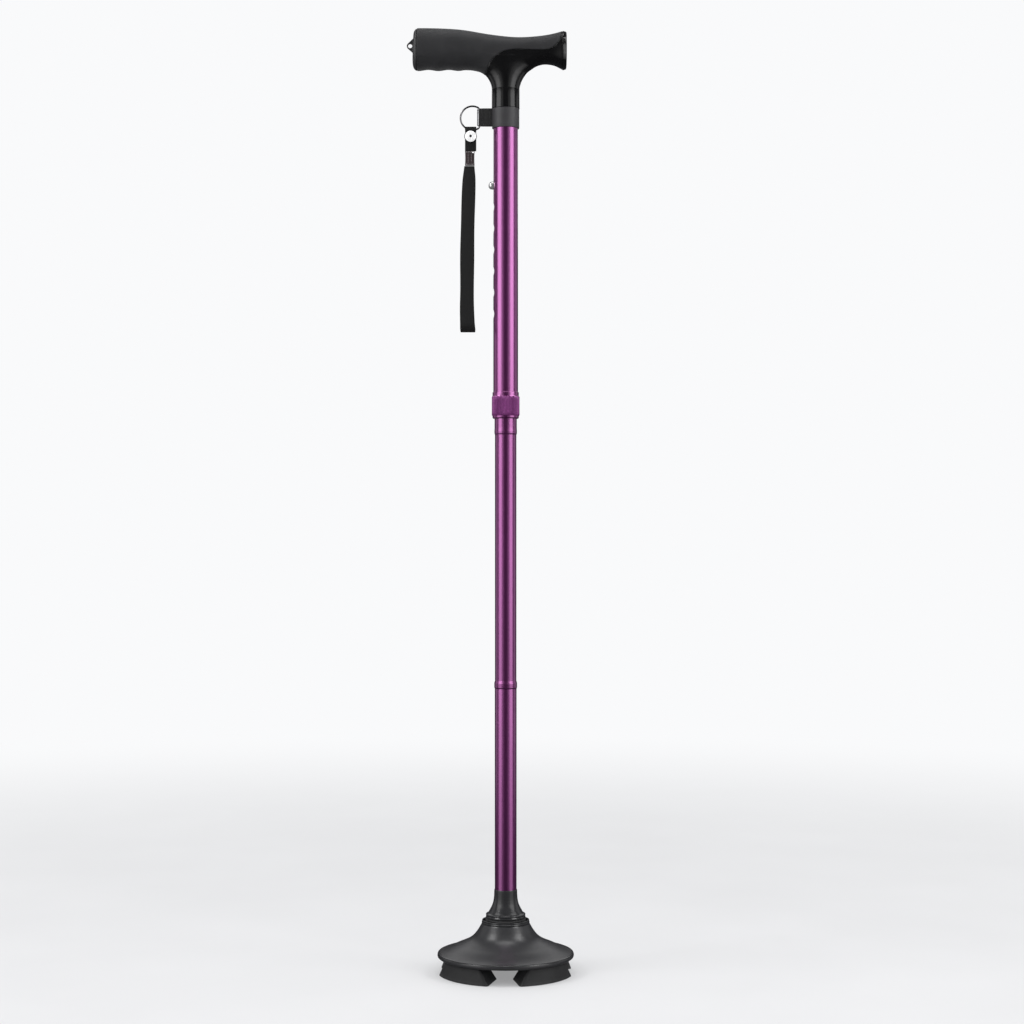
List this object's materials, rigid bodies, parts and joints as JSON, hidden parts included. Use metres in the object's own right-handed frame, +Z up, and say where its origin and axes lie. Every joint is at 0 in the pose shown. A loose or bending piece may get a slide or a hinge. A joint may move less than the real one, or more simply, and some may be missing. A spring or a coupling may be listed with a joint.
{
  "type": "folding quad walking cane",
  "caption": "Folding height-adjustable walking cane with T-handle, wrist strap, snap-button lock and a tilting round base on rubber feet",
  "frame": {"origin": "on the floor, in the middle of the object's box; the shaft's axis stands 13.6 mm from it towards +X", "axes": "+Z up along the shaft, +X the way the handle's short front end points, +Y to the handle's left"},
  "size_m": [0.1486, 0.1212, 0.8391],
  "materials": {
    "anodised_aluminium": "bright purple anodised, fine drawn finish",
    "grip_rubber": "matte soft-touch elastomer",
    "gloss_black_plastic": "moulded, glossy",
    "base_plastic": "moulded, satin",
    "foot_rubber": "matte black rubber",
    "band_rubber": "dark grey, satin",
    "webbing": "woven black nylon",
    "leather": "smooth black leather, stitched",
    "nickel": "bright nickel plate",
    "steel": "zinc plated",
    "nylon": "natural nylon",
    "elastic_cord": "braided sheath over rubber"
  },
  "bodies": {
    "base": {"base_shell": "base_plastic", "base_plate": "base_plastic", "socket_retainer": "nylon", "cushion_ring": "foot_rubber", "foot_rear_right": "foot_rubber", "foot_rear_left": "foot_rubber", "foot_front_left": "foot_rubber", "foot_front_right": "foot_rubber", "base_screw_1": "steel", "base_screw_2": "steel", "base_screw_3": "steel", "base_screw_4": "steel"},
    "ball_liner": {"ball_liner": "nylon"},
    "ball_stud": {"ball_stud": "steel", "thrust_washer": "nylon", "stud_circlip": "steel"},
    "lower_section": {"neck_socket": "base_plastic", "neck_set_screw": "steel", "lower_tube": "anodised_aluminium", "lower_ferrule": "nylon", "cord_plug_lower": "nylon", "shock_cord": "elastic_cord"},
    "middle_section": {"middle_tube": "anodised_aluminium", "middle_ferrule": "nylon"},
    "adjuster": {"inner_tube": "anodised_aluminium", "cord_plug_upper": "nylon", "tube_end_cap": "nylon", "button_spring": "steel"},
    "upper_section": {"outer_tube": "anodised_aluminium", "thread_ring": "anodised_aluminium", "collet_ring": "nylon", "neck_sleeve": "gloss_black_plastic", "handle_plug": "nylon", "handle_bolt": "steel", "handle_core": "gloss_black_plastic", "grip_cover": "grip_rubber", "palm_end_cap": "grip_rubber", "front_end_cap": "gloss_black_plastic", "strap_band": "band_rubber", "strap_tab": "webbing"},
    "snap_button": {"snap_button": "nickel"},
    "lock_collar": {"lock_collar": "anodised_aluminium"},
    "d_ring": {"d_ring": "nickel"},
    "wrist_strap": {"snap_loop": "leather", "snap_cap": "nickel", "snap_stud": "nickel", "loop_sleeve": "leather", "wrist_loop": "webbing"}
  },
  "joints": [
    {"name": "base_tilt_side", "type": "hinge", "parent": "base", "child": "ball_liner", "pos_m": [0.0136, 0, 0.044], "axis": [1, 0, 0], "range_deg": [-9, 9], "stiffness_Nm_per_rad": 25, "deforming": ["cushion_ring"]},
    {"name": "base_tilt_forward", "type": "hinge", "parent": "ball_liner", "child": "ball_stud", "pos_m": [0.0136, 0, 0.044], "axis": [0, 1, 0], "range_deg": [-9, 9], "stiffness_Nm_per_rad": 25, "deforming": ["cushion_ring"]},
    {"name": "base_swivel", "type": "hinge", "parent": "ball_stud", "child": "lower_section", "pos_m": [0.0136, 0, 0.044], "axis": [0, 0, 1], "continuous": true},
    {"name": "lower_fold_joint", "type": "slide", "parent": "lower_section", "child": "middle_section", "axis": [0, 0, 1], "range_m": [0, 0.045], "stiffness_N_per_m": 250, "springref_m": -0.08, "deforming": ["shock_cord"]},
    {"name": "upper_fold_joint", "type": "slide", "parent": "middle_section", "child": "adjuster", "axis": [0, 0, 1], "range_m": [0, 0.045], "stiffness_N_per_m": 250, "springref_m": -0.08, "deforming": ["shock_cord"]},
    {"name": "height_adjustment", "type": "slide", "parent": "adjuster", "child": "upper_section", "axis": [0, 0, 1], "range_m": [0, 0.1143]},
    {"name": "snap_button_press", "type": "slide", "parent": "adjuster", "child": "snap_button", "axis": [1, 0, 0], "range_m": [0, 0.0055], "stiffness_N_per_m": 600, "springref_m": -0.003, "deforming": ["button_spring"]},
    {"name": "lock_collar_turn", "type": "hinge", "parent": "upper_section", "child": "lock_collar", "pos_m": [0.0136, 0, 0.504], "axis": [0, 0, 1], "range_deg": [0, 120]},
    {"name": "ring_swing", "type": "hinge", "parent": "upper_section", "child": "d_ring", "pos_m": [-0.0098, 0, 0.7595], "axis": [0, 0, 1], "range_deg": [-60, 60]},
    {"name": "strap_swing", "type": "hinge", "parent": "d_ring", "child": "wrist_strap", "pos_m": [-0.0172, 0, 0.7496], "axis": [1, 0, 0], "range_deg": [-60, 60]}
  ]
}
